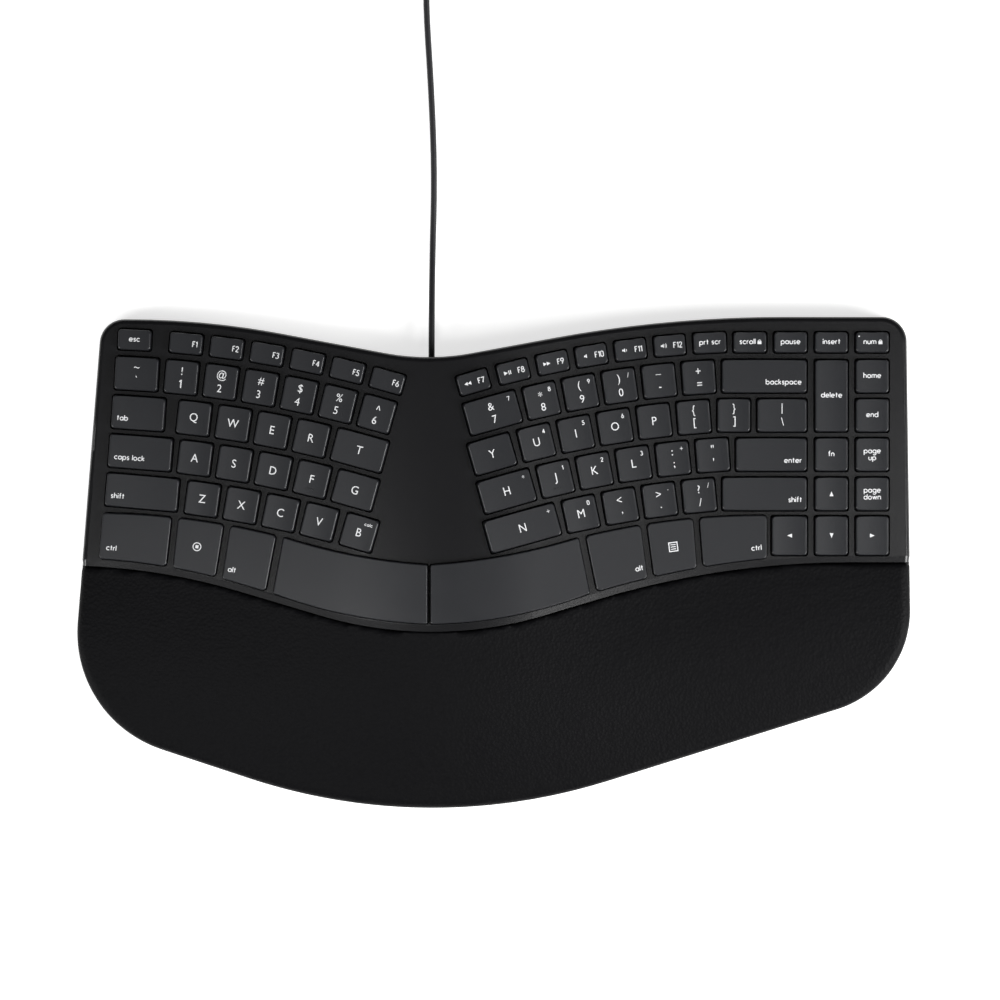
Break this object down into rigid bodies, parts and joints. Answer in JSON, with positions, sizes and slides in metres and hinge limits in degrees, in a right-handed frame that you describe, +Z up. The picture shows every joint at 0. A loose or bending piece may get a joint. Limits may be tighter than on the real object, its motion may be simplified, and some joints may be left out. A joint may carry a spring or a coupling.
{
  "type": "ergonomic keyboard",
  "caption": "Arched, wave-shaped ergonomic keyboard with curved rows of low keys, a padded palm rest across the front, flip-out tilt feet and a USB cord.",
  "frame": {"origin": "under the middle of the keyboard, without its free cord, on the surface it stands on", "axes": "+X to the user's right along the keyboard, +Y away from the user, +Z up"},
  "size_m": [0.4003, 0.4803, 0.0332],
  "materials": {
    "key_plastic": "fine matt black plastic with printed legends",
    "cover_plastic": "matt black plastic",
    "case_plastic": "matt black plastic",
    "pad_skin": "soft black leather-like cover",
    "tray_plastic": "unpainted plastic",
    "dome_rubber": "translucent silicone rubber",
    "film": "clear polyester film with printed tracks",
    "steel_sheet": "zinc-plated steel sheet",
    "board": "green solder mask with black chips",
    "screw_steel": "zinc-plated steel",
    "foot_rubber": "black rubber",
    "cord_jacket": "black flexible jacket",
    "tie_plastic": "black plastic band",
    "plug_plastic": "black moulded grip",
    "plug_metal": "nickel-plated steel"
  },
  "bodies": {
    "keyboard_body": {"top_cover": "cover_plastic", "bottom_case": "case_plastic", "palm_rest_pad": "pad_skin", "palm_rest_tray": "tray_plastic", "key_guide_plate": "tray_plastic", "dome_sheet": "dome_rubber", "membrane": "film", "backing_plate": "steel_sheet", "controller_board": "board", "case_screws": "screw_steel", "rubber_feet": "foot_rubber", "cable_strain_relief": "cord_jacket", "usb_cable": "cord_jacket", "cable_coil": "cord_jacket", "cable_tie": "tie_plastic", "usb_plug_grip": "plug_plastic", "usb_plug_contacts": "plug_metal"},
    "tilt_foot_left": {"tilt_foot_left": "case_plastic"},
    "tilt_foot_right": {"tilt_foot_right": "case_plastic"},
    "key_escape": {"key_escape": "key_plastic"},
    "key_q": {"key_q": "key_plastic"},
    "key_w": {"key_w": "key_plastic"},
    "key_e": {"key_e": "key_plastic"},
    "key_r": {"key_r": "key_plastic"},
    "key_t": {"key_t": "key_plastic"},
    "key_a": {"key_a": "key_plastic"},
    "key_s": {"key_s": "key_plastic"},
    "key_d": {"key_d": "key_plastic"},
    "key_f": {"key_f": "key_plastic"},
    "key_g": {"key_g": "key_plastic"},
    "key_z": {"key_z": "key_plastic"},
    "key_x": {"key_x": "key_plastic"},
    "key_c": {"key_c": "key_plastic"},
    "key_v": {"key_v": "key_plastic"},
    "key_b": {"key_b": "key_plastic"},
    "key_p": {"key_p": "key_plastic"},
    "key_o": {"key_o": "key_plastic"},
    "key_i": {"key_i": "key_plastic"},
    "key_u": {"key_u": "key_plastic"},
    "key_y": {"key_y": "key_plastic"},
    "key_l": {"key_l": "key_plastic"},
    "key_k": {"key_k": "key_plastic"},
    "key_j": {"key_j": "key_plastic"},
    "key_h": {"key_h": "key_plastic"},
    "key_m": {"key_m": "key_plastic"},
    "key_n": {"key_n": "key_plastic"},
    "key_space_left": {"key_space_left": "key_plastic"},
    "key_space_right": {"key_space_right": "key_plastic"},
    "keys_function_left": {"keys_function_left": "key_plastic"},
    "keys_function_right": {"keys_function_right": "key_plastic"},
    "keys_system": {"keys_system": "key_plastic"},
    "keys_number_left": {"keys_number_left": "key_plastic"},
    "keys_number_right": {"keys_number_right": "key_plastic"},
    "keys_punctuation": {"keys_punctuation": "key_plastic"},
    "keys_navigation": {"keys_navigation": "key_plastic"},
    "keys_arrow": {"keys_arrow": "key_plastic"},
    "keys_side_left": {"keys_side_left": "key_plastic"},
    "keys_side_right": {"keys_side_right": "key_plastic"},
    "keys_modifier_left": {"keys_modifier_left": "key_plastic"},
    "keys_modifier_right": {"keys_modifier_right": "key_plastic"}
  },
  "joints": [
    {"name": "tilt_foot_left_fold", "type": "hinge", "parent": "keyboard_body", "child": "tilt_foot_left", "pos_m": [-0.13561, 0.085, 0.0032], "axis": [1, 0, 0], "range_deg": [0, 100]},
    {"name": "tilt_foot_right_fold", "type": "hinge", "parent": "keyboard_body", "child": "tilt_foot_right", "pos_m": [0.12606, 0.085, 0.0032], "axis": [1, 0, 0], "range_deg": [0, 100]},
    {"name": "key_escape_press", "type": "slide", "parent": "keyboard_body", "child": "key_escape", "axis": [0.0727, 0, -0.9974], "range_m": [0, 0.0028], "stiffness_N_per_m": 150, "springref_m": -0.002, "deforming": ["dome_sheet"]},
    {"name": "key_q_press", "type": "slide", "parent": "keyboard_body", "child": "key_q", "axis": [0.0857, 0, -0.9963], "range_m": [0, 0.0028], "stiffness_N_per_m": 150, "springref_m": -0.002, "deforming": ["dome_sheet"]},
    {"name": "key_w_press", "type": "slide", "parent": "keyboard_body", "child": "key_w", "axis": [0.0943, 0, -0.9955], "range_m": [0, 0.0028], "stiffness_N_per_m": 150, "springref_m": -0.002, "deforming": ["dome_sheet"]},
    {"name": "key_e_press", "type": "slide", "parent": "keyboard_body", "child": "key_e", "axis": [0.1029, 0, -0.9947], "range_m": [0, 0.0028], "stiffness_N_per_m": 150, "springref_m": -0.002, "deforming": ["dome_sheet"]},
    {"name": "key_r_press", "type": "slide", "parent": "keyboard_body", "child": "key_r", "axis": [0.1114, 0, -0.9938], "range_m": [0, 0.0028], "stiffness_N_per_m": 150, "springref_m": -0.002, "deforming": ["dome_sheet"]},
    {"name": "key_t_press", "type": "slide", "parent": "keyboard_body", "child": "key_t", "axis": [0.0784, 0, -0.9969], "range_m": [0, 0.0028], "stiffness_N_per_m": 150, "springref_m": -0.002, "deforming": ["dome_sheet"]},
    {"name": "key_a_press", "type": "slide", "parent": "keyboard_body", "child": "key_a", "axis": [0.0859, 0, -0.9963], "range_m": [0, 0.0028], "stiffness_N_per_m": 150, "springref_m": -0.002, "deforming": ["dome_sheet"]},
    {"name": "key_s_press", "type": "slide", "parent": "keyboard_body", "child": "key_s", "axis": [0.0946, 0, -0.9955], "range_m": [0, 0.0028], "stiffness_N_per_m": 150, "springref_m": -0.002, "deforming": ["dome_sheet"]},
    {"name": "key_d_press", "type": "slide", "parent": "keyboard_body", "child": "key_d", "axis": [0.1031, 0, -0.9947], "range_m": [0, 0.0028], "stiffness_N_per_m": 150, "springref_m": -0.002, "deforming": ["dome_sheet"]},
    {"name": "key_f_press", "type": "slide", "parent": "keyboard_body", "child": "key_f", "axis": [0.1116, 0, -0.9938], "range_m": [0, 0.0028], "stiffness_N_per_m": 150, "springref_m": -0.002, "deforming": ["dome_sheet"]},
    {"name": "key_g_press", "type": "slide", "parent": "keyboard_body", "child": "key_g", "axis": [0.0834, 0, -0.9965], "range_m": [0, 0.0028], "stiffness_N_per_m": 150, "springref_m": -0.002, "deforming": ["dome_sheet"]},
    {"name": "key_z_press", "type": "slide", "parent": "keyboard_body", "child": "key_z", "axis": [0.0876, 0, -0.9962], "range_m": [0, 0.0028], "stiffness_N_per_m": 150, "springref_m": -0.002, "deforming": ["dome_sheet"]},
    {"name": "key_x_press", "type": "slide", "parent": "keyboard_body", "child": "key_x", "axis": [0.0962, 0, -0.9954], "range_m": [0, 0.0028], "stiffness_N_per_m": 150, "springref_m": -0.002, "deforming": ["dome_sheet"]},
    {"name": "key_c_press", "type": "slide", "parent": "keyboard_body", "child": "key_c", "axis": [0.1047, 0, -0.9945], "range_m": [0, 0.0028], "stiffness_N_per_m": 150, "springref_m": -0.002, "deforming": ["dome_sheet"]},
    {"name": "key_v_press", "type": "slide", "parent": "keyboard_body", "child": "key_v", "axis": [0.1132, 0, -0.9936], "range_m": [0, 0.0028], "stiffness_N_per_m": 150, "springref_m": -0.002, "deforming": ["dome_sheet"]},
    {"name": "key_b_press", "type": "slide", "parent": "keyboard_body", "child": "key_b", "axis": [0.0789, 0, -0.9969], "range_m": [0, 0.0028], "stiffness_N_per_m": 150, "springref_m": -0.002, "deforming": ["dome_sheet"]},
    {"name": "key_p_press", "type": "slide", "parent": "keyboard_body", "child": "key_p", "axis": [-0.068, 0, -0.9977], "range_m": [0, 0.0028], "stiffness_N_per_m": 150, "springref_m": -0.002, "deforming": ["dome_sheet"]},
    {"name": "key_o_press", "type": "slide", "parent": "keyboard_body", "child": "key_o", "axis": [-0.0837, 0, -0.9965], "range_m": [0, 0.0028], "stiffness_N_per_m": 150, "springref_m": -0.002, "deforming": ["dome_sheet"]},
    {"name": "key_i_press", "type": "slide", "parent": "keyboard_body", "child": "key_i", "axis": [-0.0993, 0, -0.9951], "range_m": [0, 0.0028], "stiffness_N_per_m": 150, "springref_m": -0.002, "deforming": ["dome_sheet"]},
    {"name": "key_u_press", "type": "slide", "parent": "keyboard_body", "child": "key_u", "axis": [-0.1132, 0, -0.9936], "range_m": [0, 0.0028], "stiffness_N_per_m": 150, "springref_m": -0.002, "deforming": ["dome_sheet"]},
    {"name": "key_y_press", "type": "slide", "parent": "keyboard_body", "child": "key_y", "axis": [-0.0689, 0, -0.9976], "range_m": [0, 0.0028], "stiffness_N_per_m": 150, "springref_m": -0.002, "deforming": ["dome_sheet"]},
    {"name": "key_l_press", "type": "slide", "parent": "keyboard_body", "child": "key_l", "axis": [-0.0762, 0, -0.9971], "range_m": [0, 0.0028], "stiffness_N_per_m": 150, "springref_m": -0.002, "deforming": ["dome_sheet"]},
    {"name": "key_k_press", "type": "slide", "parent": "keyboard_body", "child": "key_k", "axis": [-0.0918, 0, -0.9958], "range_m": [0, 0.0028], "stiffness_N_per_m": 150, "springref_m": -0.002, "deforming": ["dome_sheet"]},
    {"name": "key_j_press", "type": "slide", "parent": "keyboard_body", "child": "key_j", "axis": [-0.1074, 0, -0.9942], "range_m": [0, 0.0028], "stiffness_N_per_m": 150, "springref_m": -0.002, "deforming": ["dome_sheet"]},
    {"name": "key_h_press", "type": "slide", "parent": "keyboard_body", "child": "key_h", "axis": [-0.0851, 0, -0.9964], "range_m": [0, 0.0028], "stiffness_N_per_m": 150, "springref_m": -0.002, "deforming": ["dome_sheet"]},
    {"name": "key_m_press", "type": "slide", "parent": "keyboard_body", "child": "key_m", "axis": [-0.0972, 0, -0.9953], "range_m": [0, 0.0028], "stiffness_N_per_m": 150, "springref_m": -0.002, "deforming": ["dome_sheet"]},
    {"name": "key_n_press", "type": "slide", "parent": "keyboard_body", "child": "key_n", "axis": [-0.1026, 0, -0.9947], "range_m": [0, 0.0028], "stiffness_N_per_m": 150, "springref_m": -0.002, "deforming": ["dome_sheet"]},
    {"name": "key_space_left_press", "type": "slide", "parent": "keyboard_body", "child": "key_space_left", "axis": [0.086, 0, -0.9963], "range_m": [0, 0.0028], "stiffness_N_per_m": 150, "springref_m": -0.002, "deforming": ["dome_sheet"]},
    {"name": "key_space_right_press", "type": "slide", "parent": "keyboard_body", "child": "key_space_right", "axis": [-0.0857, 0, -0.9963], "range_m": [0, 0.0028], "stiffness_N_per_m": 150, "springref_m": -0.002, "deforming": ["dome_sheet"]},
    {"name": "keys_function_left_press", "type": "slide", "parent": "keyboard_body", "child": "keys_function_left", "axis": [0.0881, 0, -0.9961], "range_m": [0, 0.0028], "stiffness_N_per_m": 900, "springref_m": -0.002, "deforming": ["dome_sheet"]},
    {"name": "keys_function_right_press", "type": "slide", "parent": "keyboard_body", "child": "keys_function_right", "axis": [-0.0802, 0, -0.9968], "range_m": [0, 0.0028], "stiffness_N_per_m": 900, "springref_m": -0.002, "deforming": ["dome_sheet"]},
    {"name": "keys_system_press", "type": "slide", "parent": "keyboard_body", "child": "keys_system", "axis": [-0.0308, 0, -0.9995], "range_m": [0, 0.0028], "stiffness_N_per_m": 750, "springref_m": -0.002, "deforming": ["dome_sheet"]},
    {"name": "keys_number_left_press", "type": "slide", "parent": "keyboard_body", "child": "keys_number_left", "axis": [0.0884, 0, -0.9961], "range_m": [0, 0.0028], "stiffness_N_per_m": 1050, "springref_m": -0.002, "deforming": ["dome_sheet"]},
    {"name": "keys_number_right_press", "type": "slide", "parent": "keyboard_body", "child": "keys_number_right", "axis": [-0.0796, 0, -0.9968], "range_m": [0, 0.0028], "stiffness_N_per_m": 900, "springref_m": -0.002, "deforming": ["dome_sheet"]},
    {"name": "keys_punctuation_press", "type": "slide", "parent": "keyboard_body", "child": "keys_punctuation", "axis": [-0.0521, 0, -0.9986], "range_m": [0, 0.0028], "stiffness_N_per_m": 1200, "springref_m": -0.002, "deforming": ["dome_sheet"]},
    {"name": "keys_navigation_press", "type": "slide", "parent": "keyboard_body", "child": "keys_navigation", "axis": [-0.0262, 0, -0.9997], "range_m": [0, 0.0028], "stiffness_N_per_m": 900, "springref_m": -0.002, "deforming": ["dome_sheet"]},
    {"name": "keys_arrow_press", "type": "slide", "parent": "keyboard_body", "child": "keys_arrow", "axis": [-0.0262, 0, -0.9997], "range_m": [0, 0.0028], "stiffness_N_per_m": 600, "springref_m": -0.002, "deforming": ["dome_sheet"]},
    {"name": "keys_side_left_press", "type": "slide", "parent": "keyboard_body", "child": "keys_side_left", "axis": [0.074, 0, -0.9973], "range_m": [0, 0.0028], "stiffness_N_per_m": 450, "springref_m": -0.002, "deforming": ["dome_sheet"]},
    {"name": "keys_side_right_press", "type": "slide", "parent": "keyboard_body", "child": "keys_side_right", "axis": [-0.0262, 0, -0.9997], "range_m": [0, 0.0028], "stiffness_N_per_m": 450, "springref_m": -0.002, "deforming": ["dome_sheet"]},
    {"name": "keys_modifier_left_press", "type": "slide", "parent": "keyboard_body", "child": "keys_modifier_left", "axis": [0.0857, 0, -0.9963], "range_m": [0, 0.0028], "stiffness_N_per_m": 450, "springref_m": -0.002, "deforming": ["dome_sheet"]},
    {"name": "keys_modifier_right_press", "type": "slide", "parent": "keyboard_body", "child": "keys_modifier_right", "axis": [-0.0598, 0, -0.9982], "range_m": [0, 0.0028], "stiffness_N_per_m": 450, "springref_m": -0.002, "deforming": ["dome_sheet"]}
  ]
}
